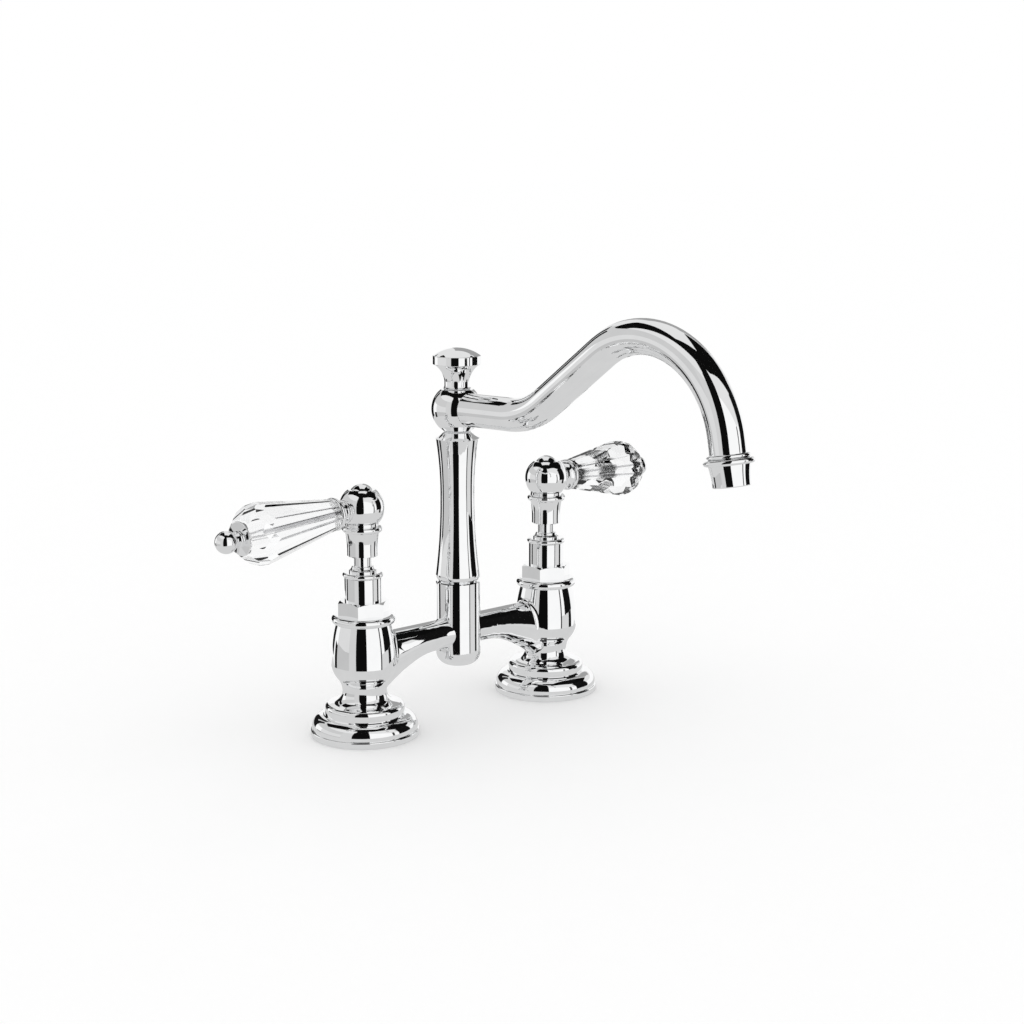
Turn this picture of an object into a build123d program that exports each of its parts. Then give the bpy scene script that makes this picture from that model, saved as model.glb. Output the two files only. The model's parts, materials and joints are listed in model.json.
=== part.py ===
from build123d import *
import math
import os

os.makedirs("parts", exist_ok=True)

# Bridge kitchen tap, in millimetres. +Z is up and z = 0 is the deck that the flanges stand on.
# The origin is midway between the two inlets. X runs along the bridge, and the spout points to -Y.

# ---- Clearances
fit_gap = 0.05           # between pieces that are screwed or pushed together
slip_gap = 0.06          # between a turning piece and what it turns on or in
end_gap = 0.3            # at the blind end of a hole
edge_break = 0.5         # chamfer of a turned edge
quarter_round = 0.207    # bulge of a quarter circle: its sagitta as a share of its chord
half_round = 0.5         # bulge of a half circle

# ---- Pillars and deck flanges
pillar_spacing = 150.0
inlet_radius = 9.315     # minor radius of a G 1/2 female thread
inlet_depth = 14.0
shank_wall = 3.9
waterway_radius = 6.5
flange_radius = 33.4
flange_height = 13.6
flange_rim_height = 4.2
flange_step = 1.0        # how far the ovolo stands in from the rim
flange_ovolo = 0.228     # bulge of the flange's ovolo
flange_wall = 2.4
flange_shoulder = 1.2    # how far the flange's top reaches out past the pillar's foot
flange_seal_thickness = 1.6
flange_seal_width = 5.0
foot_radius = 24.4
foot_band = 3.8
foot_top_radius = 21.6
foot_rise = 6.6          # from the flange to where the cove of the foot begins
waist_radius = 13.6
waist_height = 28.3
belly_radius = 20.2
belly_drop = 7.4         # from the arm's axis down to the widest part of the belly
neck_radius = 16.8
ring_radius = 19.6
ring_thickness = 5.5
pillar_rise = 23.45      # from the arm's axis up to the top of the ring
foot_cove = 0.228        # bulges of the turned outline, from the foot up
bowl_hollow = 0.074      # the bowl is the lower half of the belly, from the waist up
bowl_round = 0.085
belly_round = 0.033
bowl_share = 0.42        # of the way from waist to belly, where the outline turns from hollow to round
bowl_swell = 0.36

# ---- Bridge arms
arm_height = 52.4
arm_radius = 9.7
arm_bore_radius = 5.4
arm_spigot_radius = 8.0
arm_spigot_length = 5.0
arm_fillet = 3.5         # where the arm meets the pillar
horn_reach = 50.0        # from the pillar's axis out to where the arm begins to deepen
horn_root = 16.0         # from the pillar's axis out to where the arm is deepest
horn_drop = 0.4          # how far below the waist the arm's underside comes down at its root
horn_swell = 1.3         # how much wider, each side, the arm is at its root
horn_curve = 1.6         # power of the underside's curve
arm_seal_section = 0.7   # section radius of the o-rings on the arms' spigots

# ---- Valves: a quarter-turn ceramic headwork in each pillar
seat_drop = 12.4         # from the arm's axis down to the valve seat
bonnet_thread_radius = 10.3
bonnet_cage_wall = 2.2
chamber_radius = 11.8
seat_washer_thickness = 2.6
fixed_disc_thickness = 3.4
moving_disc_thickness = 3.2
disc_port_radius = 2.0
disc_port_offset = 4.6
drive_slot_width = 3.2
disc_relief = 0.4        # the pieces above the moving disc are this much narrower
drive_play = 0.4         # of the drive in the slot, endways
drive_slot_length = 10.4
drive_slot_depth = 1.5
carrier_height = 7.0     # from the moving disc to the spindle's collar
carrier_radius = 4.2
collar_height = 2.0
thrust_washer_thickness = 0.8
window_height = 5.6
window_width = 9.0
bonnet_seal_thickness = 0.8
bonnet_seal_radius = 12.6
hex_across_flats = 28.0
hex_height = 8.8
hex_chamfer = 1.1        # height of the chamfer at the hexagon's corners
left_hex_turn = 41.0     # degrees that a corner of the hexagon stands off the X axis
right_hex_turn = 34.0
bonnet_neck_radius = 9.4
bonnet_neck_wall = 2.3
shroud_radius = 11.35
shroud_height = 14.3
shroud_bead_radius = 12.5
shroud_bead_thickness = 3.2
gland_radius = 8.5
gland_top_radius = 6.7
gland_height = 3.9
gland_band = 1.0
gland_hollow = 0.09      # bulge of the cone above the gland's band
gland_thread_length = 8.0
stem_radius = 5.3
stem_ring_section = 0.75
stem_ring_rise = 4.0     # from the thrust washer up to the first o-ring
stem_ring_spacing = 6.0
stem_showing = 6.1       # from the gland to the handle's cup

# ---- Handle hubs
cup_bottom_radius = 9.4
cup_top_radius = 10.4
cup_height = 14.75
cup_flare = 0.025        # bulge of the cup's side
cup_recess_depth = 4.0
hub_bead_radius = 12.4
hub_bead_thickness = 4.2
hub_neck_radius = 10.3
hub_neck_height = 1.6
hub_ball_radius = 13.9
hub_flat_rise = 11.0     # from the ball's centre up to the flat under the cap
spline_radius = 4.4
screw_head_radius = 4.3
screw_head_height = 3.0
screw_socket_radius = 2.2
screw_socket_floor = 1.0
screw_radius = 2.0
screw_length = 12.0
hub_web = 3.0            # metal between the spindle's end and the screw's head
cap_radius = 6.6
cap_height = 3.4
cap_plug_length = 4.0
grub_radius = 1.9
grub_recess = 0.9
grub_socket_radius = 1.05
grub_socket_depth = 1.5
grub_rise = 9.4          # from the cup's bottom up to the grub screw

# ---- Crystal levers, measured along the lever from the pillar's axis
left_lever_turn = 2.7    # degrees, anticlockwise seen from above, from straight outward
right_lever_turn = 9.3
lever_droop = 3.7        # degrees below level
ferrule_seat = 12.4
ferrule_root_radius = 6.3
ferrule_bead_radius = 7.3
ferrule_bead_start = 0.7
ferrule_bead_thickness = 1.8
ferrule_hollow = 0.13    # bulge of the cove between the bead and the large ring
ferrule_length = 10.4
ferrule_ring_radius = 10.1
ferrule_ring_thickness = 2.8
lever_washer_thickness = 0.5
crystal_facets = 10      # in each row of facets
crystal_root_radius = 9.6
crystal_girdle_radius = 19.2
crystal_taper_length = 55.6
crystal_crown_length = 12.0
crystal_end_radius = 11.4
girdle_slope = -0.13     # growth of the radius along the crystal, for each row of facets past the taper
shoulder_slope = -0.42
crown_slope = -0.92
shoulder_radius = 17.2   # of the shoulder row, halfway along the crown
rod_radius = 2.2
rod_socket_depth = 6.0
end_washer_radius = 10.3
end_washer_rim = 0.7     # thickness at its edge
end_washer_thickness = 1.2
end_collar_radius = 4.7
end_collar_thickness = 1.8
end_neck_radius = 3.6
end_ball_radius = 6.7
end_ball_reach = 10.1    # from the crystal's end to the centre of the ball

# ---- Bridge body and centre column
bridge_radius = 14.1
bridge_below = 21.4      # below the arm's axis
bridge_above = 32.8      # above the arm's axis
bridge_corner = 8.0
bridge_bore_radius = 8.6
column_spigot_radius = 10.4
column_spigot_length = 12.0
column_seal_section = 0.9
column_height = 94.7
column_foot_radius = 11.8
column_belly_radius = 13.9
column_belly_rise = 5.2
column_waist_radius = 10.9
column_waist_rise = 52.8
column_shoulder_radius = 14.0
column_cone_height = 3.6
column_top_radius = 8.9
column_bore_radius = 5.4
column_belly_round = 0.16
column_lower_hollow = 0.016
column_upper_hollow = 0.021
column_cone_hollow = 0.056

# ---- Swivel
post_radius = 6.0
post_bore_radius = 3.3
post_depth = 20.0        # how far the post goes down into the column
post_ring_section = 0.8
post_ring_rise = 3.0     # from the chamber's ends out to the o-rings
port_radius = 2.2
bush_thickness = 0.8
spout_ball_radius = 16.2
spout_ball_drop = 13.7   # from the ball's centre down to the flat that runs on the bush
spout_ball_rise = 12.4   # from the ball's centre up to the flat under the finial
hub_chamber_radius = 9.2
hub_chamber_height = 12.0
finial_washer_thickness = 0.7
finial_washer_radius = 8.2
finial_stud_radius = 4.2
finial_stud_length = 9.0
finial_foot_radius = 8.8
finial_foot_height = 1.2
finial_foot_hollow = 0.1
finial_flare = 0.112     # bulge of the hollow flare under the rim
finial_neck_radius = 7.9
finial_neck_height = 3.0
finial_rim_radius = 15.1
finial_rim_rise = 15.2   # from the finial's foot to the underside of its rim
finial_rim_height = 5.2
finial_dome = 4.6

# ---- Spout
tube_radius = 10.4
tube_wall = 1.1
tube_seat = 10.2         # from the swivel axis to the tube's inner end
swan_rise = 2.4          # degrees above level where the tube leaves the ball
swan_length = 50.2       # straight run, from the swivel axis
swan_bend_radius = 60.0
climb_angle = 36.0
climb_length = 57.3
arch_radius = 62.0
nose_angle = 80.0        # degrees below level at the outlet
nose_length = 6.7        # straight run that shows above the nozzle
nozzle_socket_depth = 6.5
nozzle_thin_bead_radius = 12.3
nozzle_thin_bead_height = 2.6
nozzle_bead_radius = 14.4
nozzle_bead_height = 3.3
nozzle_sleeve_radius = 12.0
nozzle_mouth_radius = 10.7
nozzle_sleeve_length = 12.0
nozzle_mouth_wall = 1.5
nozzle_ledge = 0.9       # ledge above the aerator's washer
nozzle_hollow = 0.03     # bulge of the sleeve's side
aerator_height = 7.0
aerator_recess = 0.8
aerator_washer_thickness = 1.5
aerator_washer_width = 2.0
aerator_hole_radius = 0.75
aerator_hole_rows = 3

# ---- Heights worked out from the sizes above
belly_height = arm_height - belly_drop
pillar_height = arm_height + pillar_rise
ring_bottom = pillar_height - ring_thickness
horn_depth = arm_height - arm_radius - waist_height + horn_drop
seat_height = arm_height - seat_drop
fixed_disc_bottom = seat_height + seat_washer_thickness
moving_disc_bottom = fixed_disc_bottom + fixed_disc_thickness + slip_gap
moving_disc_top = moving_disc_bottom + moving_disc_thickness
collar_bottom = moving_disc_top + carrier_height
thrust_bottom = collar_bottom + collar_height
thrust_top = thrust_bottom + thrust_washer_thickness
seal_bottom = pillar_height - bonnet_seal_thickness
hex_top = pillar_height + hex_height
shroud_top = hex_top + shroud_height + shroud_bead_thickness
gland_top = shroud_top + gland_height
cup_bottom = gland_top + stem_showing
bead_bottom = cup_bottom + cup_height
bead_top = bead_bottom + hub_bead_thickness
hub_neck_top = bead_top + hub_neck_height
hub_ball_height = hub_neck_top + math.sqrt(hub_ball_radius ** 2 - hub_neck_radius ** 2)
hub_flat = hub_ball_height + hub_flat_rise
bridge_top = arm_height + bridge_above
bridge_bottom = arm_height - bridge_below
column_top = bridge_top + column_height
bush_top = column_top + bush_thickness
spout_height = bush_top + slip_gap + spout_ball_drop
spout_hub_top = spout_height + spout_ball_rise
finial_bottom = spout_hub_top + slip_gap + finial_washer_thickness
disc_bore_radius = bonnet_thread_radius - bonnet_cage_wall
disc_radius = disc_bore_radius - slip_gap
bonnet_neck_bore = bonnet_neck_radius - bonnet_neck_wall
bonnet_neck_top = shroud_top - shroud_bead_thickness / 2

# ---- Stations along the lever
ferrule_end = ferrule_seat + ferrule_length
crystal_start = ferrule_end + lever_washer_thickness
crystal_girdle = crystal_start + crystal_taper_length
crystal_end = crystal_girdle + crystal_crown_length
end_ball_start = crystal_end + end_washer_thickness
end_ball_centre = crystal_end + end_ball_reach


def turned(*outline):
    """Revolve an (r, z) outline about Z. A third value makes an arc that ends at that point.

    The value is the arc's bulge: its sagitta as a share of its chord, above zero where it is hollow.
    """
    edges = []
    for start, end in zip(outline, outline[1:] + outline[:1]):
        chord = math.dist(start[:2], end[:2])
        if len(end) == 3:
            edges.append(SagittaArc(start[:2], end[:2], end[2] * chord))
        elif chord > 1e-6:
            edges.append(Line(start[:2], end[:2]))
    return revolve(Plane.XZ * make_face(edges), Axis.Z)


def dome(radius, height):
    """Bulge of an arc that rises from a radius to the axis and is level there."""
    half_turn = math.atan2(height, radius)
    return -math.tan(half_turn / 2) / 2


def ring(inner, outer, bottom, top):
    """A plain ring about Z."""
    return turned((inner, bottom), (outer, bottom), (outer, top), (inner, top))


def rod(radius, bottom, top):
    """A plain cylinder on Z between two heights."""
    return Pos(0, 0, (bottom + top) / 2) * Cylinder(radius, top - bottom)


def radial_rod(radius, near, far, height):
    """A cylinder along X from near to far, at a height."""
    return Pos((near + far) / 2, 0, height) * Rot(0, 90, 0) * Cylinder(radius, far - near)


def groove_radius(outer, section):
    """Bottom of an o-ring groove in a shaft: the ring lies in it with its outside at the shaft's surface."""
    return outer - 2 * section - fit_gap


def o_ring(outer, section, height):
    """An o-ring whose outside is just inside a shaft's surface."""
    return Pos(0, 0, height) * Torus(outer - section, section)


def o_ring_groove(outer, section, height):
    """The ring of metal that an o-ring's groove takes from a shaft."""
    half = section + fit_gap
    return ring(groove_radius(outer, section), outer + 1, height - half, height + half)


# ---- Pillars

def deck_flange():
    """Stepped round cover flange: a rim band and an ovolo, hollow underneath."""
    top = foot_radius + flange_shoulder
    bore = inlet_radius + shank_wall + fit_gap
    inner = flange_radius - flange_wall
    ceiling = flange_height - flange_wall
    return turned(
        (inner, 0), (flange_radius - edge_break, 0), (flange_radius, edge_break),
        (flange_radius, flange_rim_height - flange_step),
        (flange_radius - flange_step, flange_rim_height, -quarter_round),
        (top, flange_height - edge_break, -flange_ovolo), (top - edge_break, flange_height),
        (bore, flange_height), (bore, ceiling), (top - flange_wall, ceiling), (inner, flange_rim_height),
    )


def flange_seal():
    """Rubber ring in the flange's underside. It touches the deck together with the rim."""
    outer = flange_radius - flange_wall - fit_gap
    return ring(outer - flange_seal_width, outer, 0, flange_seal_thickness)


def pillar_outline():
    """Outside of the pillar, from its shank through foot, waist and belly to the ring at the top."""
    shank = inlet_radius + shank_wall
    band_top = flange_height + foot_band
    foot_top = flange_height + foot_rise
    ring_flat = ring_radius - ring_thickness / 2
    turn_height = waist_height + bowl_share * (belly_height - waist_height)
    turn_radius = waist_radius + bowl_swell * (belly_radius - waist_radius)
    return turned(
        (0, 0), (shank, 0), (shank, flange_height), (foot_radius, flange_height), (foot_radius, band_top),
        (foot_top_radius, foot_top, -quarter_round), (waist_radius, waist_height, foot_cove),
        (turn_radius, turn_height, bowl_hollow), (belly_radius, belly_height, -bowl_round),
        (neck_radius, ring_bottom, -belly_round), (ring_flat, ring_bottom),
        (ring_flat, pillar_height, -half_round), (0, pillar_height),
    )


def bridge_arm():
    """The arm as cast, along +X: round at the bridge, with a deep horn where it joins the pillar."""
    top = arm_height + arm_radius
    reach = pillar_spacing / 2
    stations = [(reach, 0), ((reach + horn_reach) / 2, 0)]
    for share in (0.0, 0.25, 0.5, 0.75, 1.0):
        stations.append((horn_reach + (horn_root - horn_reach) * share, share))
    stations.append((0, 1))
    sections = []
    for distance, share in stations:
        half_height = arm_radius + horn_depth * share ** horn_curve / 2
        half_width = arm_radius + horn_swell * share
        plane = Plane.YZ.offset(distance)
        sections.append(plane * Pos(0, top - half_height) * Ellipse(half_width, half_height))
    return loft(sections)


def arm_root(body):
    """The edges where the arm meets the pillar: no level circles, and none in the arm's middle plane."""
    edges = body.edges().filter_by_position(Axis.X, 0.5 * waist_radius, 1.5 * belly_radius)
    free_edges = [edge for edge in edges if edge.geom_type != GeomType.CIRCLE]
    return [edge for edge in free_edges if edge.bounding_box().size.Y > edge_break]


def pillar_body():
    """Pillar with its bridge arm along +X, hollow from the inlet to the valve and on through the arm."""
    column_gap = Pos(pillar_spacing / 2, 0, arm_height) * Cylinder(bridge_radius + fit_gap, 6 * arm_radius)
    arm_end = pillar_spacing / 2 - bridge_radius + arm_spigot_length
    body = Rot(0, 0, 90) * pillar_outline() + (bridge_arm() - column_gap)
    body = fillet(arm_root(body), min(arm_fillet, 0.45 * (ring_bottom - arm_height - arm_radius)))
    body += radial_rod(arm_spigot_radius, pillar_spacing / 2 - bridge_radius - 4, arm_end, arm_height)
    body -= rod(inlet_radius, 0, inlet_depth)
    body -= rod(waterway_radius, inlet_depth, seat_height)
    body -= rod(bonnet_thread_radius + fit_gap, seat_height, pillar_height)
    body -= rod(bonnet_seal_radius + fit_gap, seal_bottom, pillar_height)
    chamber_bottom = arm_height - arm_radius / 2
    body -= ring(bonnet_thread_radius - 1, chamber_radius, chamber_bottom, arm_height + arm_radius)
    body -= radial_rod(arm_bore_radius, 0, arm_end, arm_height)
    groove = Rot(0, 90, 0) * o_ring_groove(arm_spigot_radius, arm_seal_section, 0)
    return body - Pos(arm_end - arm_spigot_length / 2, 0, arm_height) * groove


def arm_o_ring():
    """O-ring on the spigot of the arm that runs along +X from a pillar."""
    arm_end = pillar_spacing / 2 - bridge_radius + arm_spigot_length
    seal = Rot(0, 90, 0) * o_ring(arm_spigot_radius, arm_seal_section, 0)
    return Pos(arm_end - arm_spigot_length / 2, 0, arm_height) * seal


# ---- Valves

def seat_washer():
    return ring(waterway_radius, disc_radius, seat_height, fixed_disc_bottom)


def disc_ports(bottom, top, turn):
    """Two round ports through a ceramic disc."""
    hole = rod(disc_port_radius, bottom, top)
    return Rot(0, 0, turn) * (Pos(disc_port_offset, 0, 0) * hole + Pos(-disc_port_offset, 0, 0) * hole)


def fixed_disc():
    top = fixed_disc_bottom + fixed_disc_thickness
    return rod(disc_radius, fixed_disc_bottom, top) - disc_ports(fixed_disc_bottom, top, 0)


def moving_disc():
    """The disc that the spindle turns. Its ports stand across the fixed ones when the valve is shut."""
    slot_bottom = moving_disc_top - drive_slot_depth
    slot = Pos(0, 0, slot_bottom) * Box(
        drive_slot_length, drive_slot_width, 2 * drive_slot_depth,
        align=(Align.CENTER, Align.CENTER, Align.MIN),
    )
    disc = rod(disc_radius, moving_disc_bottom, moving_disc_top)
    return disc - disc_ports(moving_disc_bottom, moving_disc_top, 90) - slot


def valve_spindle():
    """Spindle: a drive tang in the moving disc, a collar, two o-ring grooves, the stem and a reduced end."""
    tang_depth = drive_slot_depth - slip_gap
    tang = Pos(0, 0, moving_disc_top - tang_depth) * Box(
        drive_slot_length - drive_play, drive_slot_width - 2 * fit_gap, tang_depth + 1,
        align=(Align.CENTER, Align.CENTER, Align.MIN),
    )
    spline_bottom = cup_bottom + cup_recess_depth
    spindle_end = spindle_top()
    body = turned(
        (0, moving_disc_top), (carrier_radius, moving_disc_top), (carrier_radius, collar_bottom),
        (disc_radius - disc_relief, collar_bottom), (disc_radius - disc_relief, thrust_bottom),
        (stem_radius, thrust_bottom),
        (stem_radius, spline_bottom), (spline_radius, spline_bottom), (spline_radius, spindle_end - 0.5),
        (spline_radius - 0.5, spindle_end), (0, spindle_end),
    )
    body += tang
    for height in stem_ring_heights():
        body -= o_ring_groove(stem_radius, stem_ring_section, height)
    return body - rod(screw_radius + fit_gap, spindle_end + hub_web - screw_length - end_gap, spindle_end)


def spindle_top():
    """The spindle ends a screw's web below the head of the handle screw."""
    return bead_top


def stem_ring_heights():
    """The two o-rings sit on the stem above the thrust washer."""
    first = thrust_top + stem_ring_rise
    return (first, first + stem_ring_spacing)


def spindle_o_rings():
    lower, upper = stem_ring_heights()
    return [o_ring(stem_radius, stem_ring_section, lower), o_ring(stem_radius, stem_ring_section, upper)]


def thrust_washer():
    return ring(stem_radius + slip_gap, disc_radius - disc_relief, thrust_bottom + slip_gap, thrust_top)


def valve_bonnet(hex_turn):
    """Screwed cage with two windows, a hexagon and a neck that carries the gland."""
    cage_bottom = seat_height + end_gap
    thread = bonnet_thread_radius
    gland_bottom = bonnet_neck_top - gland_thread_length - end_gap
    body = rod(thread, cage_bottom, pillar_height)
    body += hexagon(hex_turn)
    body += rod(bonnet_neck_radius, hex_top, bonnet_neck_top)
    body -= rod(disc_bore_radius, cage_bottom, thrust_top)
    body -= rod(stem_radius + slip_gap, thrust_top, bonnet_neck_top)
    body -= rod(bonnet_neck_bore, gland_bottom, bonnet_neck_top)
    window = Pos(0, 0, arm_height) * Box(2 * thread + 2, window_width, window_height)
    return body - window - Rot(0, 0, 90) * window


def hexagon(hex_turn):
    """Hexagon that sits on the pillar, with its top corners chamfered by turning."""
    corner = hex_across_flats / math.sqrt(3)
    flat = hex_across_flats / 2
    prism = Rot(0, 0, hex_turn) * extrude(RegularPolygon(corner, 6), hex_height)
    blank = turned(
        (0, pillar_height), (corner, pillar_height), (corner, hex_top - hex_chamfer), (flat, hex_top),
        (0, hex_top),
    )
    return Pos(0, 0, pillar_height) * prism & blank


def bonnet_seal():
    return ring(bonnet_thread_radius + fit_gap, bonnet_seal_radius, seal_bottom, pillar_height)


def shroud_sleeve():
    """Plain sleeve over the bonnet's neck, with a rounded bead at its top."""
    bore = bonnet_neck_radius + fit_gap
    bead_bottom_edge = shroud_top - shroud_bead_thickness
    bead_flat = shroud_bead_radius - shroud_bead_thickness / 2
    lip_bottom = bonnet_neck_top + fit_gap
    return turned(
        (bore, hex_top), (shroud_radius, hex_top), (shroud_radius, bead_bottom_edge),
        (bead_flat, bead_bottom_edge), (bead_flat, shroud_top, -half_round), (bonnet_neck_bore, shroud_top),
        (bonnet_neck_bore, lip_bottom), (bore, lip_bottom),
    )


def gland_nut():
    """Round nut about the stem: its thread is in the bonnet's neck and its head on the shroud."""
    thread = bonnet_neck_bore - fit_gap
    thread_bottom = bonnet_neck_top - gland_thread_length
    bore = stem_radius + slip_gap
    band_top = shroud_top + gland_band
    return turned(
        (bore, thread_bottom), (thread, thread_bottom), (thread, shroud_top), (gland_radius, shroud_top),
        (gland_radius, band_top), (gland_radius - edge_break, band_top + edge_break, -quarter_round),
        (gland_top_radius, gland_top - edge_break, gland_hollow),
        (gland_top_radius - edge_break, gland_top, -quarter_round), (bore, gland_top),
    )


# ---- Handles

def handle_hub():
    """Cup, bead and ball in one, bored for the spindle, the screw and its cap."""
    bead_flat = hub_bead_radius - hub_bead_thickness / 2
    ball = Pos(0, 0, hub_ball_height) * Sphere(hub_ball_radius)
    ball &= rod(hub_ball_radius + 1, bead_top, hub_flat)
    hub = turned(
        (0, cup_bottom), (cup_bottom_radius - edge_break, cup_bottom),
        (cup_bottom_radius, cup_bottom + edge_break), (cup_top_radius, bead_bottom, cup_flare),
        (bead_flat, bead_bottom), (bead_flat, bead_top, -half_round), (hub_neck_radius, bead_top),
        (hub_neck_radius, hub_neck_top), (0, hub_neck_top),
    )
    hub += ball
    screw_seat = spindle_top() + hub_web
    hub -= rod(stem_radius + fit_gap, cup_bottom, cup_bottom + cup_recess_depth + fit_gap)
    hub -= rod(spline_radius + fit_gap, cup_bottom, spindle_top() + fit_gap)
    hub -= rod(screw_radius + fit_gap, spindle_top(), screw_seat)
    return hub - rod(screw_head_radius + fit_gap, screw_seat, hub_flat)


def handle_screw():
    """Socket screw down the middle of the hub into the spindle."""
    seat = spindle_top() + hub_web
    screw = rod(screw_head_radius, seat, seat + screw_head_height)
    screw += rod(screw_radius, seat - screw_length, seat)
    socket = extrude(RegularPolygon(screw_socket_radius, 6), screw_head_height)
    return screw - Pos(0, 0, seat + screw_socket_floor) * socket


def hub_cap():
    """Small domed cap on the ball's flat, with a plug in the screw's hole."""
    plug_bottom = hub_flat - cap_plug_length
    return turned(
        (0, plug_bottom), (screw_head_radius, plug_bottom), (screw_head_radius, hub_flat),
        (cap_radius, hub_flat), (0, hub_flat + cap_height, dome(cap_radius, cap_height)),
    )


def grub_place():
    """Height of the grub screw, in the cup's upper part."""
    return cup_bottom + grub_rise


def grub_screw():
    """Socket grub screw through the cup, along +X, onto the spindle."""
    tip = spline_radius + fit_gap
    outer = cup_bottom_radius - grub_recess
    screw = radial_rod(grub_radius, tip, outer, grub_place())
    socket = Rot(0, -90, 0) * extrude(RegularPolygon(grub_socket_radius, 6), grub_socket_depth)
    return screw - Pos(outer, 0, grub_place()) * socket


def lever_ferrule():
    """Collar between the ball and the crystal, along +Z: a root, a small bead, a cove and the large ring."""
    ring_start = ferrule_end - ferrule_ring_thickness
    bead = ferrule_seat + ferrule_bead_start
    bead_end = bead + ferrule_bead_thickness
    bead_flat = ferrule_bead_radius - ferrule_bead_thickness / 2
    ring_flat = ferrule_ring_radius - ferrule_ring_thickness / 2
    bore = rod_radius + fit_gap
    return turned(
        (bore, ferrule_seat), (ferrule_root_radius, ferrule_seat), (ferrule_root_radius, bead),
        (bead_flat, bead), (bead_flat, bead_end, -half_round), (ferrule_root_radius, bead_end),
        (ring_flat - edge_break, ring_start, ferrule_hollow), (ring_flat, ring_start),
        (ring_flat, ferrule_end, -half_round), (bore, ferrule_end),
    )


def facet_row(station, radius, slope, turn):
    """A many-sided taper along +Z that cuts one row of facets. It has the radius at the station."""
    outlines = []
    for height in (crystal_start, crystal_end):
        polygon = RegularPolygon(radius + slope * (height - station), crystal_facets)
        outlines.append(Plane.XY.offset(height) * Rot(0, 0, turn) * polygon)
    return loft(outlines, ruled=True)


def crystal_lever():
    """Cut crystal along +Z: long facets that widen to the girdle, and three rows of short ones past it."""
    half_step = 180 / crystal_facets
    taper_slope = (crystal_girdle_radius - crystal_root_radius) / crystal_taper_length
    crystal = facet_row(crystal_girdle, crystal_girdle_radius, taper_slope, half_step)
    crystal &= facet_row(crystal_girdle, crystal_girdle_radius, girdle_slope, 0)
    crystal &= facet_row((crystal_girdle + crystal_end) / 2, shoulder_radius, shoulder_slope, half_step)
    crystal &= facet_row(crystal_end, crystal_end_radius, crown_slope, 0)
    return crystal - rod(rod_radius + fit_gap, crystal_start, crystal_end)


def crystal_washer():
    """Clear washer between the ferrule and the crystal."""
    outer = ferrule_ring_radius - ferrule_ring_thickness / 2
    return ring(rod_radius + fit_gap, outer, ferrule_end, crystal_start)


def end_washer():
    """Dished washer over the crystal's end, under the end ball."""
    rim = crystal_end + end_washer_rim
    bore = rod_radius + fit_gap
    return turned(
        (bore, crystal_end), (end_washer_radius, crystal_end), (end_washer_radius, rim - edge_break),
        (end_washer_radius - edge_break, rim, -quarter_round), (end_collar_radius, end_ball_start),
        (bore, end_ball_start),
    )


def tie_rod():
    """Rod from the ball through the ferrule and the crystal into the end ball."""
    return rod(rod_radius, rod_socket_depth + end_gap, end_ball_centre)


def end_ball():
    """Ball nut that closes the lever: a collar, a neck and the ball, drilled blind for the rod."""
    collar_end = end_ball_start + end_collar_thickness
    ball_start = end_ball_centre - math.sqrt(end_ball_radius ** 2 - end_neck_radius ** 2)
    nut = turned(
        (0, end_ball_start), (end_collar_radius, end_ball_start),
        (end_collar_radius, collar_end, -quarter_round), (end_neck_radius, collar_end),
        (end_neck_radius, ball_start + edge_break), (0, ball_start + edge_break),
    )
    nut += Pos(0, 0, end_ball_centre) * Sphere(end_ball_radius)
    return nut - rod(rod_radius + fit_gap, end_ball_start, end_ball_centre + end_gap)


def lever_socket():
    """What the lever takes from the ball: a spot face for the ferrule and a hole for the rod."""
    spot = rod(ferrule_root_radius + fit_gap, ferrule_seat, hub_ball_radius + 1)
    return spot + rod(rod_radius + fit_gap, rod_socket_depth, hub_ball_radius)


def lever_place(outward_angle):
    """Turns a piece made along +Z so that it lies along the lever, from the centre of the hub's ball."""
    return Pos(0, 0, hub_ball_height) * Rot(0, 0, outward_angle) * Rot(0, 90 + lever_droop, 0)


# ---- Bridge body and column

def bridge_body():
    """Lower column with a rounded bottom: a mixing chamber, a socket for each arm and one for the column."""
    chamber_bottom = arm_height - bridge_bore_radius
    spigot_bottom = bridge_top - column_spigot_length - end_gap
    body = turned(
        (0, bridge_bottom), (bridge_radius - bridge_corner, bridge_bottom),
        (bridge_radius, bridge_bottom + bridge_corner, -quarter_round),
        (bridge_radius, bridge_top - edge_break), (bridge_radius - edge_break, bridge_top), (0, bridge_top),
    )
    body -= rod(bridge_bore_radius, chamber_bottom, spigot_bottom)
    body -= rod(column_spigot_radius + fit_gap, spigot_bottom, bridge_top)
    return body - radial_rod(arm_spigot_radius + fit_gap, -bridge_radius - 1, bridge_radius + 1, arm_height)


def column_seal_height():
    return bridge_top - column_spigot_length / 2


def column_seal():
    return o_ring(column_spigot_radius, column_seal_section, column_seal_height())


def centre_column():
    """Turned column: a coved waist between a belly and a shoulder, bored through, on a grooved spigot."""
    belly = bridge_top + column_belly_rise
    waist = bridge_top + column_waist_rise
    shoulder = column_top - column_cone_height
    spigot_bottom = bridge_top - column_spigot_length
    body = turned(
        (0, spigot_bottom), (column_spigot_radius, spigot_bottom), (column_spigot_radius, bridge_top),
        (column_foot_radius, bridge_top), (column_belly_radius, belly, -column_belly_round),
        (column_waist_radius, waist, column_lower_hollow),
        (column_shoulder_radius - edge_break, shoulder - edge_break, column_upper_hollow),
        (column_shoulder_radius, shoulder), (column_top_radius, column_top, column_cone_hollow),
        (0, column_top),
    )
    body -= rod(column_bore_radius, spigot_bottom, column_top)
    body -= o_ring_groove(column_spigot_radius, column_seal_section, column_seal_height())
    return body - rod(post_radius + fit_gap, column_top - post_depth - end_gap, column_top)


# ---- Swivel

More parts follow.
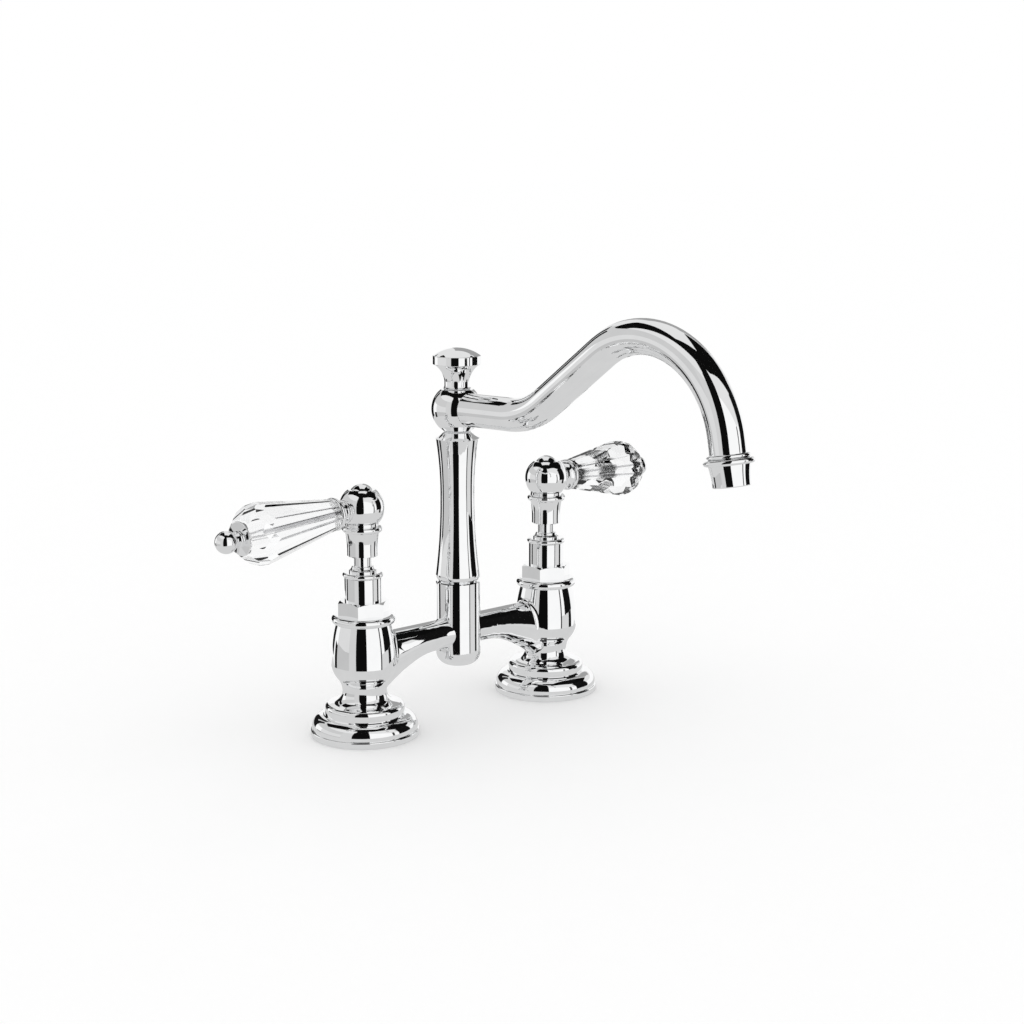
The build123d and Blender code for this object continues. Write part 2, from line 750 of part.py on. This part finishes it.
def post_ring_heights():
    """One o-ring below and one above the chamber in the spout's ball."""
    offset = hub_chamber_height / 2 + post_ring_rise
    return (spout_height - offset, spout_height + offset)


def swivel_post():
    """Hollow post screwed into the column: the spout turns on it, and the finial screws onto its stud."""
    stud_top = finial_bottom + finial_stud_length
    post = rod(post_radius, column_top - post_depth, finial_bottom)
    post += rod(finial_stud_radius, finial_bottom, stud_top)
    post -= rod(post_bore_radius, column_top - post_depth, spout_height + hub_chamber_height / 2)
    port = radial_rod(port_radius, -post_radius - 1, post_radius + 1, spout_height)
    post -= port + Rot(0, 0, 90) * port
    for height in post_ring_heights():
        post -= o_ring_groove(post_radius, post_ring_section, height)
    return post


def swivel_o_rings():
    lower, upper = post_ring_heights()
    return [o_ring(post_radius, post_ring_section, lower), o_ring(post_radius, post_ring_section, upper)]


def swivel_bush():
    return ring(post_radius + fit_gap, column_top_radius - edge_break, column_top, bush_top)


def spout_hub():
    """Ball that turns on the post, with a ring chamber about the post's ports and a socket for the tube."""
    hub = Pos(0, 0, spout_height) * Sphere(spout_ball_radius)
    hub &= rod(spout_ball_radius + 1, bush_top + slip_gap, spout_hub_top)
    hub -= rod(post_radius + slip_gap, bush_top, spout_hub_top)
    half = hub_chamber_height / 2
    hub -= ring(post_radius, hub_chamber_radius, spout_height - half, spout_height + half)
    outlet = Plane(origin=(0, 0, spout_height), z_dir=swan_direction())
    socket = rod(tube_radius + fit_gap, tube_seat, spout_ball_radius + 1)
    port = rod(hub_chamber_height / 2, post_radius + slip_gap, spout_ball_radius)
    return hub - outlet * (socket + port)


def finial_washer():
    bottom = spout_hub_top + slip_gap
    return ring(post_radius + fit_gap, finial_washer_radius, bottom, finial_bottom)


def finial():
    """Flared nut on the post's stud: a foot, a short neck, a coved flare and a domed rim."""
    neck = finial_bottom + finial_foot_height
    neck_top = neck + finial_neck_height
    rim = finial_bottom + finial_rim_rise
    rim_top = rim + finial_rim_height
    dome_radius = finial_rim_radius - edge_break
    body = turned(
        (0, finial_bottom), (finial_foot_radius, finial_bottom),
        (finial_neck_radius, neck, finial_foot_hollow), (finial_neck_radius, neck_top),
        (dome_radius, rim - edge_break, finial_flare), (finial_rim_radius, rim, -quarter_round),
        (finial_rim_radius, rim_top - edge_break), (dome_radius, rim_top, -quarter_round),
        (0, rim_top + finial_dome, dome(dome_radius, finial_dome)),
    )
    hole_top = finial_bottom + finial_stud_length + end_gap
    return body - rod(finial_stud_radius + fit_gap, finial_bottom, hole_top)


# ---- Spout

def spout_plane():
    """Local x runs forward from the swivel axis and local y up, from the centre of the spout's ball."""
    return Plane(origin=(0, 0, spout_height), x_dir=(0, -1, 0), z_dir=(-1, 0, 0))


def swan_direction():
    """Direction in which the tube leaves the ball."""
    rise = math.radians(swan_rise)
    return Vector(0, -math.cos(rise), math.sin(rise))


def spout_path():
    """Centre line of the tube: a short run, a bend up, a climb, the arch and the nose into the nozzle."""
    rise = math.radians(swan_rise)
    start = Vector(math.cos(rise), math.sin(rise)) * tube_seat
    first_run = Line(start, Vector(math.cos(rise), math.sin(rise)) * swan_length)
    bend = JernArc(first_run @ 1, first_run % 1, swan_bend_radius, climb_angle - swan_rise)
    climb = Line(bend @ 1, bend @ 1 + (bend % 1) * climb_length)
    arch = JernArc(climb @ 1, climb % 1, arch_radius, -(climb_angle + nose_angle))
    nose = Line(arch @ 1, arch @ 1 + (arch % 1) * (nose_length + nozzle_socket_depth))
    return spout_plane() * Wire([first_run, bend, climb, arch, nose])


def spout_tube():
    path = spout_path()
    wall = Circle(tube_radius) - Circle(tube_radius - tube_wall)
    return sweep(Plane(path @ 0, z_dir=path % 0) * wall, path=path)


def nozzle_place():
    """Local +Z runs down the stream, from the top of the nozzle."""
    path = spout_path()
    return Plane((path @ 1) - (path % 1) * nozzle_socket_depth, x_dir=(1, 0, 0), z_dir=path % 1)


def nozzle_length():
    return nozzle_thin_bead_height + nozzle_bead_height + nozzle_sleeve_length


def aerator_bottom():
    return nozzle_length() - aerator_recess


def nozzle_housing():
    """Beaded outlet end, along +Z: a thin bead, a larger bead and a tapered sleeve."""
    thin = nozzle_thin_bead_height
    large = thin + nozzle_bead_height
    end = nozzle_length()
    thin_flat = nozzle_thin_bead_radius - thin / 2
    large_flat = nozzle_bead_radius - nozzle_bead_height / 2
    socket = tube_radius + fit_gap
    mouth = nozzle_mouth_radius - nozzle_mouth_wall
    washer_top = aerator_bottom() - aerator_height - aerator_washer_thickness
    throat = mouth - nozzle_ledge
    return turned(
        (socket, 0), (thin_flat, 0), (thin_flat, thin, -half_round), (large_flat, thin),
        (large_flat, large, -half_round), (nozzle_sleeve_radius, large),
        (nozzle_mouth_radius, end - edge_break, nozzle_hollow), (nozzle_mouth_radius - edge_break, end),
        (mouth, end), (mouth, washer_top), (throat, washer_top), (throat, nozzle_socket_depth + end_gap),
        (socket, nozzle_socket_depth + end_gap),
    )


def aerator_washer():
    outer = nozzle_mouth_radius - nozzle_mouth_wall - fit_gap
    top = aerator_bottom() - aerator_height
    return ring(outer - aerator_washer_width, outer, top - aerator_washer_thickness, top)


def aerator_insert():
    """Flow straightener: a plug with rings of small holes round a middle one."""
    outer = nozzle_mouth_radius - nozzle_mouth_wall - fit_gap
    bottom = aerator_bottom()
    plug = rod(outer, bottom - aerator_height, bottom)
    hole = rod(aerator_hole_radius, bottom - aerator_height, bottom)
    row_step = outer / (aerator_hole_rows + 1)
    holes = [hole]
    for row in range(1, aerator_hole_rows + 1):
        for number in range(6 * row):
            holes.append(Rot(0, 0, 60 / row * number) * Pos(row * row_step, 0, 0) * hole)
    return plug - holes


# ---- Assembly

def write(name, *solids):
    """Write one node, as one solid or as a group of separate solids."""
    shape = solids[0] if len(solids) == 1 else Compound(children=list(solids))
    export_step(shape, f"parts/{name}.step")


def on_pillar(side, shape):
    """Move a piece from the Z axis to a pillar's axis."""
    return Pos(side * pillar_spacing / 2, 0, 0) * shape


def write_pillar(prefix, side, hex_turn):
    """The fixed pieces of one side. The arm points to the middle."""
    facing = Rot(0, 0, 0 if side < 0 else 180)
    write(prefix + "deck_flange", on_pillar(side, deck_flange()))
    write(prefix + "flange_seal", on_pillar(side, flange_seal()))
    write(prefix + "pillar_body", on_pillar(side, facing * pillar_body()))
    write(prefix + "seat_washer", on_pillar(side, seat_washer()))
    write(prefix + "fixed_disc", on_pillar(side, fixed_disc()))
    write(prefix + "thrust_washer", on_pillar(side, thrust_washer()))
    write(prefix + "valve_bonnet", on_pillar(side, valve_bonnet(hex_turn)))
    write(prefix + "bonnet_seal", on_pillar(side, bonnet_seal()))
    write(prefix + "shroud_sleeve", on_pillar(side, shroud_sleeve()))
    write(prefix + "gland_nut", on_pillar(side, gland_nut()))
    return on_pillar(side, facing * arm_o_ring())


def write_handle(prefix, side, outward_angle):
    """The turning pieces of one side: spindle, moving disc, hub and crystal lever."""
    place = lever_place(outward_angle)
    grub_turn = Rot(0, 0, outward_angle)
    grub_hole = radial_rod(grub_radius + fit_gap, 0, cup_top_radius + 1, grub_place())
    hub = handle_hub() - place * lever_socket() - grub_turn * grub_hole
    write(prefix + "valve_spindle", on_pillar(side, valve_spindle()))
    write(prefix + "spindle_o_rings", *[on_pillar(side, seal) for seal in spindle_o_rings()])
    write(prefix + "moving_disc", on_pillar(side, moving_disc()))
    write(prefix + "handle_hub", on_pillar(side, hub))
    write(prefix + "handle_screw", on_pillar(side, handle_screw()))
    write(prefix + "hub_cap", on_pillar(side, hub_cap()))
    write(prefix + "grub_screw", on_pillar(side, grub_turn * grub_screw()))
    write(prefix + "lever_ferrule", on_pillar(side, place * lever_ferrule()))
    write(prefix + "crystal_lever", on_pillar(side, place * crystal_lever()))
    write(prefix + "crystal_washer", on_pillar(side, place * crystal_washer()))
    write(prefix + "end_washer", on_pillar(side, place * end_washer()))
    write(prefix + "tie_rod", on_pillar(side, place * tie_rod()))
    write(prefix + "end_ball", on_pillar(side, place * end_ball()))


def write_centre():
    """Bridge body, column, swivel and finial."""
    write("bridge_body", bridge_body())
    write("centre_column", centre_column())
    write("column_seal", column_seal())
    write("swivel_post", swivel_post())
    write("swivel_o_rings", *swivel_o_rings())
    write("swivel_bush", swivel_bush())
    write("finial_washer", finial_washer())
    write("finial", finial())


def write_spout():
    """The pieces that swing with the spout."""
    place = nozzle_place()
    write("spout_hub", spout_hub())
    write("spout_tube", spout_tube())
    write("nozzle_housing", place * nozzle_housing())
    write("aerator_washer", place * aerator_washer())
    write("aerator_insert", place * aerator_insert())


arm_seals = [write_pillar("left_", -1, left_hex_turn), write_pillar("right_", 1, right_hex_turn)]
write("arm_o_rings", *arm_seals)
write_handle("left_", -1, 180 + left_lever_turn)
write_handle("right_", 1, right_lever_turn)
write_centre()
write_spout()
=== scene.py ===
"""Looks of a bridge kitchen tap: polished chrome and cut crystal in a pale studio. Metres, +Z up."""
import json
import math

import bpy
from mathutils import Matrix, Vector

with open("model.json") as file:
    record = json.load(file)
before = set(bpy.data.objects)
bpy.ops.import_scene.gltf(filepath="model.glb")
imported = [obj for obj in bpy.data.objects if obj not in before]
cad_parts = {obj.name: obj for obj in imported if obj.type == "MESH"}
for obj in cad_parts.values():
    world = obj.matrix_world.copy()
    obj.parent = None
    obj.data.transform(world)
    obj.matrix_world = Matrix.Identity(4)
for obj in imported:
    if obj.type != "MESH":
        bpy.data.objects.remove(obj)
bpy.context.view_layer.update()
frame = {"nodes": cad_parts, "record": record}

# ---- Camera, fitted to the photograph: metres, and pixels of a 1024-pixel square picture
PICTURE_WIDTH = 1024
FOCAL_PIXELS = 2050.0
SENSOR_WIDTH = 36.0
CAMERA_PLACE = Vector((-0.80769, -0.96814, 0.38440))
CAMERA_AZIMUTH = -41.386
CAMERA_PITCH = 11.458
CLIP_NEAR = 0.05
CLIP_FAR = 40.0

# ---- Surfaces: scales in cycles per metre
CLOUD_SCALE = 90.0       # of the clouds in a metal's colour
WEAR_SCALE = 420.0       # of the changes in a metal's gloss
HAZE_SCALE = 260.0
GRAIN_STRENGTH = 0.6
NOISE_LOW = 0.3          # a noise hardly leaves the range between these two
NOISE_HIGH = 0.7
WHITE = (1.0, 1.0, 1.0)
CLEAR_TINT = (0.985, 0.99, 0.995)

# ---- Floor and board
FLOOR_HALF = 6.0
FLOOR_DEPTH = 0.0002     # below the object's foot
FLOOR_SCALE = 40.0
FLOOR_LOW = (0.997, 0.997, 0.997)
BOARD_RADIUS = 0.16
BOARD_SIDES = 40
BOARD_DEPTH = 0.0001
BOARD_SCALE = 30.0
BOARD_LEVEL = 0.66
BOARD_MOTTLE = 0.01      # how far the board's level strays to each side

# ---- Heights of the room and its cards
ROOM_RADIUS = 1.2
ROOM_BOTTOM = -1.2
WALL_FOOT = -0.33        # below it the room is as pale as the board
FRONT_FLAG_DROP = 0.06   # how far the front flag hangs below the wall's foot
BACK_FLAG_BOTTOM = -0.2
BACK_FLAG_TOP = 0.85
RIGHT_LINE_TOP = -0.07   # where the right side changes from its line and low wall to its flag
LEFT_FLAG_TOP = -0.05
HORIZON = -0.02          # where the left wall changes from its low level to its high one
LEFT_HIGH_TOP = 0.4
BACK_PANEL_BOTTOM = 0.42
RIGHT_EDGE_TOP = 0.5
RIGHT_FLAG_TOP = 0.95
LEFT_TOP = 1.0
CEILING_HEIGHT = 1.3
CEILING_GAP = 0.01       # from the ceiling's cards up to the ceiling

# ---- Levels of the cards, between black 0 and white 1
BLACK = 0.004
RIGHT_FLAG_LEVEL = 0.006
LOW_FLAG_LEVEL = 0.01
RIGHT_EDGE_LEVEL = 0.05
BACK_LEVEL = 0.36
LEFT_LOW_LEVEL = 0.56
LEFT_TOP_LEVEL = 0.62
LEFT_SLIVER_LEVEL = 0.66
RIGHT_LOW_LEVEL = 0.7
LEFT_HIGH_LEVEL = 0.74
CEILING_LEVEL = 0.8

# Corners of the ceiling's cards: how far towards the camera, and how far to the right of it
ARCH_CENTRE = ((0.17, -0.3), (0.17, 0.3), (0.75, 0.3), (0.75, -0.3))
ARCH_LEFT = ((0.17, -0.3), (0.75, -0.3), (0.05, -0.9), (-0.85, -0.5))
ARCH_RIGHT = ((0.17, 0.3), (0.75, 0.3), (0.4, 0.9), (-0.85, 0.5))
ARCH_FRONT = ((0.7, -0.31), (0.7, 0.12), (1.19, 0.21), (1.1, -0.49))
LEFT_TIP = ((-0.85, -0.5), (0.05, -0.9), (-0.44, -1.39), (-0.9, -2.4), (-2.2, -2.4), (-1.6, -1.5))
RIGHT_TIP = ((-0.85, 0.5), (0.4, 0.9), (0.0, 2.0), (-0.9, 2.4), (-1.6, 1.5))
BACK_CEILING = ((-0.95, 0.45), (-1.7, 1.4), (-3.0, 1.4), (-2.4, 0.3))
CEILING = ((-4.0, -4.0), (-4.0, 4.0), (1.5, 4.0), (1.5, -4.0))


def direction(azimuth, elevation=0.0):
    """Unit vector from the object: azimuth 0 is -Y, counted clockwise seen from below, as the views are."""
    a = math.radians(azimuth)
    e = math.radians(elevation)
    return Vector((math.sin(a) * math.cos(e), -math.cos(a) * math.cos(e), math.sin(e)))


# ---- Node helpers

def new_material(name):
    """An empty node material with its output."""
    material = bpy.data.materials.new(name)
    material.use_nodes = True
    tree = material.node_tree
    tree.nodes.clear()
    output = tree.nodes.new("ShaderNodeOutputMaterial")
    return material, tree, output


def add(tree, kind, values=None):
    """Add a node, with the values of its sockets by name."""
    node = tree.nodes.new("ShaderNode" + kind)
    for key, value in (values or {}).items():
        node.inputs[key].default_value = value
    return node


def noise(tree, scale, detail=3.0, roughness=0.5):
    """Noise in object space, so that its grain has a real size. Scale is in cycles per metre."""
    place = add(tree, "TexCoord")
    texture = add(tree, "TexNoise", {"Scale": scale, "Detail": detail, "Roughness": roughness})
    tree.links.new(place.outputs["Object"], texture.inputs["Vector"])
    return texture


def spread(tree, source, low, high):
    """Spread a noise over a range of values."""
    limits = {"From Min": NOISE_LOW, "From Max": NOISE_HIGH, "To Min": low, "To Max": high}
    node = add(tree, "MapRange", limits)
    tree.links.new(source, node.inputs["Value"])
    return node.outputs["Result"]


def tint(tree, source, low, high):
    """Blend two colours by a noise."""
    node = add(tree, "ValToRGB")
    node.color_ramp.elements[0].position = NOISE_LOW
    node.color_ramp.elements[0].color = (*low, 1)
    node.color_ramp.elements[1].position = NOISE_HIGH
    node.color_ramp.elements[1].color = (*high, 1)
    tree.links.new(source, node.inputs["Fac"])
    return node.outputs["Color"]


# ---- Materials of the object

def metal(name, low, high, smooth, rough, wave_scale, wave_height):
    """Metal: faint clouds in its colour and gloss, and a slight wave left by polishing or turning."""
    material, tree, output = new_material(name)
    shader = add(tree, "BsdfPrincipled", {"Metallic": 1.0})
    clouds = noise(tree, CLOUD_SCALE, 5.0, 0.6)
    tree.links.new(tint(tree, clouds.outputs["Fac"], low, high), shader.inputs["Base Color"])
    wear = noise(tree, WEAR_SCALE, 4.0, 0.6)
    tree.links.new(spread(tree, wear.outputs["Fac"], smooth, rough), shader.inputs["Roughness"])
    wave = noise(tree, wave_scale, 1.0)
    bump = add(tree, "Bump", {"Strength": 1.0, "Distance": wave_height})
    tree.links.new(wave.outputs["Fac"], bump.inputs["Height"])
    tree.links.new(bump.outputs["Normal"], shader.inputs["Normal"])
    tree.links.new(shader.outputs["BSDF"], output.inputs["Surface"])
    return material


def clear(name, index, smooth, rough):
    """Crystal or clear plastic, with a faint haze left by the polishing."""
    material, tree, output = new_material(name)
    shader = add(tree, "BsdfPrincipled", {"Transmission Weight": 1.0, "IOR": index})
    haze = noise(tree, HAZE_SCALE, 4.0)
    tree.links.new(spread(tree, haze.outputs["Fac"], smooth, rough), shader.inputs["Roughness"])
    tree.links.new(tint(tree, haze.outputs["Fac"], CLEAR_TINT, WHITE), shader.inputs["Base Color"])
    tree.links.new(shader.outputs["BSDF"], output.inputs["Surface"])
    return material


def dull(name, low, high, smooth, rough, grain_scale, grain_height):
    """Rubber, plastic, fibre or ceramic: mottled colour, with a fine grain."""
    material, tree, output = new_material(name)
    shader = add(tree, "BsdfPrincipled")
    mottle = noise(tree, grain_scale / 3, 4.0)
    tree.links.new(tint(tree, mottle.outputs["Fac"], low, high), shader.inputs["Base Color"])
    tree.links.new(spread(tree, mottle.outputs["Fac"], smooth, rough), shader.inputs["Roughness"])
    grain = noise(tree, grain_scale, 3.0)
    bump = add(tree, "Bump", {"Strength": GRAIN_STRENGTH, "Distance": grain_height})
    tree.links.new(grain.outputs["Fac"], bump.inputs["Height"])
    tree.links.new(bump.outputs["Normal"], shader.inputs["Normal"])
    tree.links.new(shader.outputs["BSDF"], output.inputs["Surface"])
    return material


def make_materials():
    """One material for each of the record's slots.

    A metal or a dull material varies between two colours and two roughnesses, which are followed by the
    scale and the height of its wave or grain. A clear one has its index and two roughnesses.
    """
    return {
        "chrome": metal(
            "polished_chrome", (0.92, 0.925, 0.93), (0.96, 0.963, 0.966), 0.012, 0.035, 55.0, 0.00002
        ),
        "crystal": clear("cut_crystal", 1.54, 0.0, 0.012),
        "clear_plastic": clear("clear_plastic", 1.49, 0.04, 0.1),
        "bare_brass": metal("turned_brass", (0.62, 0.44, 0.19), (0.78, 0.6, 0.3), 0.15, 0.3, 900.0, 0.00003),
        "steel": metal("turned_steel", (0.5, 0.5, 0.51), (0.66, 0.66, 0.67), 0.14, 0.28, 900.0, 0.00003),
        "ceramic": dull("lapped_ceramic", (0.88, 0.87, 0.83), (0.93, 0.92, 0.9), 0.1, 0.22, 1500.0, 0.000005),
        "seal_rubber": dull(
            "seal_rubber", (0.012, 0.012, 0.013), (0.03, 0.03, 0.03), 0.5, 0.75, 2200.0, 0.00003
        ),
        "slip_plastic": dull(
            "slip_plastic", (0.62, 0.63, 0.64), (0.74, 0.75, 0.76), 0.3, 0.45, 1200.0, 0.00002
        ),
        "fibre": dull("pressed_fibre", (0.3, 0.1, 0.06), (0.48, 0.2, 0.13), 0.6, 0.85, 1800.0, 0.00004),
    }


def dress_nodes(materials):
    """Give every CAD node the material of its slot."""
    for row in frame["record"]["subparts"]:
        node = frame["nodes"][row["node"]]
        node.data.materials.clear()
        node.data.materials.append(materials[row["material_slot"]])


# ---- Studio: a white room, a pale floor, and cards that only reflections see

def card_paint(name, level):
    """An evenly lit card: it shows in metal at the level given, between black 0 and white 1."""
    material, tree, output = new_material(name + "_paint")
    shader = add(tree, "Emission", {"Color": (level, level, level, 1), "Strength": 1.0})
    tree.links.new(shader.outputs["Emission"], output.inputs["Surface"])
    return material


def reflection_only(card, through_crystal=False):
    """The card shows in metal, and through crystal if it says so. It neither lights nor shades the object."""
    card.visible_camera = False
    card.visible_diffuse = False
    card.visible_shadow = False
    card.visible_volume_scatter = False
    card.visible_transmission = through_crystal


def flat_card(name, corners, material):
    """A flat card with any number of corners. It belongs to the studio, not to the object."""
    mesh = bpy.data.meshes.new(name)
    mesh.from_pydata([tuple(corner) for corner in corners], [], [tuple(range(len(corners)))])
    mesh.materials.append(material)
    card = bpy.data.objects.new(name, mesh)
    bpy.context.scene.collection.objects.link(card)
    return card


def standing_card(name, span, bottom, top, level, through_crystal=False):
    """An upright card round the object. Its span is in degrees to the right of the camera's azimuth."""
    left = direction(CAMERA_AZIMUTH + span[0]) * ROOM_RADIUS
    right = direction(CAMERA_AZIMUTH + span[1]) * ROOM_RADIUS
    low = Vector((0, 0, bottom))
    high = Vector((0, 0, top))
    corners = [left + low, right + low, right + high, left + high]
    reflection_only(flat_card(name, corners, card_paint(name, level)), through_crystal)


def curved_wall(name, span, bottom, top, level, steps):
    """A row of upright cards that follow a circle."""
    step = (span[1] - span[0]) / steps
    for number in range(steps):
        first = span[0] + step * number
        standing_card(f"{name}_{number}", (first, first + step), bottom, top, level)


def ceiling_card(name, corners, level, through_crystal=False, height=CEILING_HEIGHT):
    """A level card above the object, or far below it."""
    out = direction(CAMERA_AZIMUTH)
    side = direction(CAMERA_AZIMUTH + 90)
    lift = Vector((0, 0, height))
    places = [out * corner[0] + side * corner[1] + lift for corner in corners]
    reflection_only(flat_card(name, places, card_paint(name, level)), through_crystal)


def make_cards():
    """Black flags and grey panels where the photograph's chrome shows them."""
    standing_card("front_flag", (-26, 10), WALL_FOOT - FRONT_FLAG_DROP, CEILING_HEIGHT, BLACK, True)
    standing_card("left_flag", (-116, -102), WALL_FOOT, LEFT_FLAG_TOP, LOW_FLAG_LEVEL)
    curved_wall("back_left_flag", (-158, -126), BACK_FLAG_BOTTOM, BACK_FLAG_TOP, LOW_FLAG_LEVEL, 2)
    curved_wall("left_low", (-102, -50), WALL_FOOT, HORIZON, LEFT_LOW_LEVEL, 5)
    curved_wall("left_high", (-102, -50), HORIZON, LEFT_HIGH_TOP, LEFT_HIGH_LEVEL, 5)
    curved_wall("left_top", (-150, -50), LEFT_HIGH_TOP, LEFT_TOP, LEFT_TOP_LEVEL, 8)
    standing_card("left_sliver", (-50, -26), WALL_FOOT, LEFT_TOP, LEFT_SLIVER_LEVEL)
    standing_card("right_edge", (61, 66), WALL_FOOT, RIGHT_EDGE_TOP, RIGHT_EDGE_LEVEL)
    curved_wall("right_low", (66, 97), WALL_FOOT, RIGHT_LINE_TOP, RIGHT_LOW_LEVEL, 2)
    standing_card("right_line", (97, 111), WALL_FOOT, RIGHT_LINE_TOP, LOW_FLAG_LEVEL)
    curved_wall("right_flag", (78, 114), RIGHT_LINE_TOP, RIGHT_FLAG_TOP, RIGHT_FLAG_LEVEL, 3)
    curved_wall("back_right_panel", (148, 184), BACK_PANEL_BOTTOM, CEILING_HEIGHT, BACK_LEVEL, 3)
    curved_wall("room_foot", (-180, 180), ROOM_BOTTOM, WALL_FOOT, BOARD_LEVEL, 16)
    ceiling_card("room_bottom", CEILING, BOARD_LEVEL, height=ROOM_BOTTOM)
    ceiling_card("arch_centre", ARCH_CENTRE, BLACK, True)
    ceiling_card("arch_front", ARCH_FRONT, BLACK, True)
    ceiling_card("arch_left", ARCH_LEFT, BLACK, True)
    ceiling_card("arch_right", ARCH_RIGHT, BLACK, True)
    ceiling_card("arch_left_tip", LEFT_TIP, BLACK)
    ceiling_card("arch_right_tip", RIGHT_TIP, BLACK)
    ceiling_card("back_ceiling", BACK_CEILING, BACK_LEVEL)
    ceiling_card("ceiling", CEILING, CEILING_LEVEL, height=CEILING_HEIGHT + CEILING_GAP)


def make_board():
    """The pale grey board under the tap, as the metal sees it."""
    material, tree, output = new_material("board_paint")
    mottle = noise(tree, BOARD_SCALE, 2.0)
    low = (BOARD_LEVEL - BOARD_MOTTLE,) * 3
    high = (BOARD_LEVEL + BOARD_MOTTLE,) * 3
    shader = add(tree, "Emission")
    tree.links.new(tint(tree, mottle.outputs["Fac"], low, high), shader.inputs["Color"])
    tree.links.new(shader.outputs["Emission"], output.inputs["Surface"])
    corners = [direction(360 * number / BOARD_SIDES) * BOARD_RADIUS for number in range(BOARD_SIDES)]
    board = flat_card("board", corners, material)
    reflection_only(board)
    board.location.z = -BOARD_DEPTH


def make_floor():
    """White floor that keeps the object's soft shadow."""
    material, tree, output = new_material("floor_white")
    shader = add(tree, "BsdfDiffuse")
    speckle = noise(tree, FLOOR_SCALE, 3.0)
    tree.links.new(tint(tree, speckle.outputs["Fac"], FLOOR_LOW, WHITE), shader.inputs["Color"])
    tree.links.new(shader.outputs["BSDF"], output.inputs["Surface"])
    half = FLOOR_HALF
    corners = [Vector((x, y, 0)) for x, y in ((-half, -half), (half, -half), (half, half), (-half, half))]
    floor = flat_card("floor", corners, material)
    floor.visible_glossy = False
    floor.location.z = -FLOOR_DEPTH


def make_world():
    """An even white room."""
    world = bpy.data.worlds.new("white_room")
    world.use_nodes = True
    bpy.context.scene.world = world
    background = world.node_tree.nodes["Background"]
    background.inputs["Color"].default_value = (1, 1, 1, 1)
    background.inputs["Strength"].default_value = 1.0


def make_camera():
    """The photograph's camera."""
    data = bpy.data.cameras.new("camera")
    data.sensor_width = SENSOR_WIDTH
    data.lens = SENSOR_WIDTH * FOCAL_PIXELS / PICTURE_WIDTH
    data.clip_start = CLIP_NEAR
    data.clip_end = CLIP_FAR
    back = direction(CAMERA_AZIMUTH, CAMERA_PITCH)
    right = Vector((0, 0, 1)).cross(back).normalized()
    up = back.cross(right)
    camera = bpy.data.objects.new("camera", data)
    camera.matrix_world = Matrix.Translation(CAMERA_PLACE) @ Matrix((right, up, back)).transposed().to_4x4()
    bpy.context.scene.collection.objects.link(camera)
    bpy.context.scene.camera = camera


bpy.context.scene.view_settings.view_transform = "Standard"
dress_nodes(make_materials())
make_world()
make_floor()
make_board()
make_cards()
make_camera()
